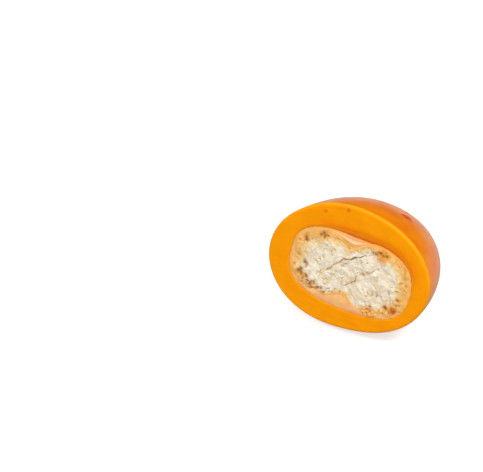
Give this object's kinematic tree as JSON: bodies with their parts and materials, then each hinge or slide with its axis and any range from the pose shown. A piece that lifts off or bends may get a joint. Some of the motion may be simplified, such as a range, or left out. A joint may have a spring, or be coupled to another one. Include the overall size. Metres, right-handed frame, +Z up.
{
  "type": "biscuit dragee",
  "caption": "Cut half of a coated biscuit dragee: a blunt egg of glossy orange coating with red flecks, and in its flat cut a pale undercoat round a small crumbly biscuit.",
  "frame": {"origin": "on the floor, under the middle of the sweet's box", "axes": "+X along the wide way of the cut face, -Y the way the cut face looks, +Z up"},
  "size_m": [0.0198, 0.0152, 0.0147],
  "materials": {
    "coating": "gloss",
    "undercoat": "satin",
    "biscuit": "matte"
  },
  "bodies": {
    "root": {"coating": "coating", "undercoat": "undercoat", "biscuit": "biscuit"}
  },
  "joints": []
}
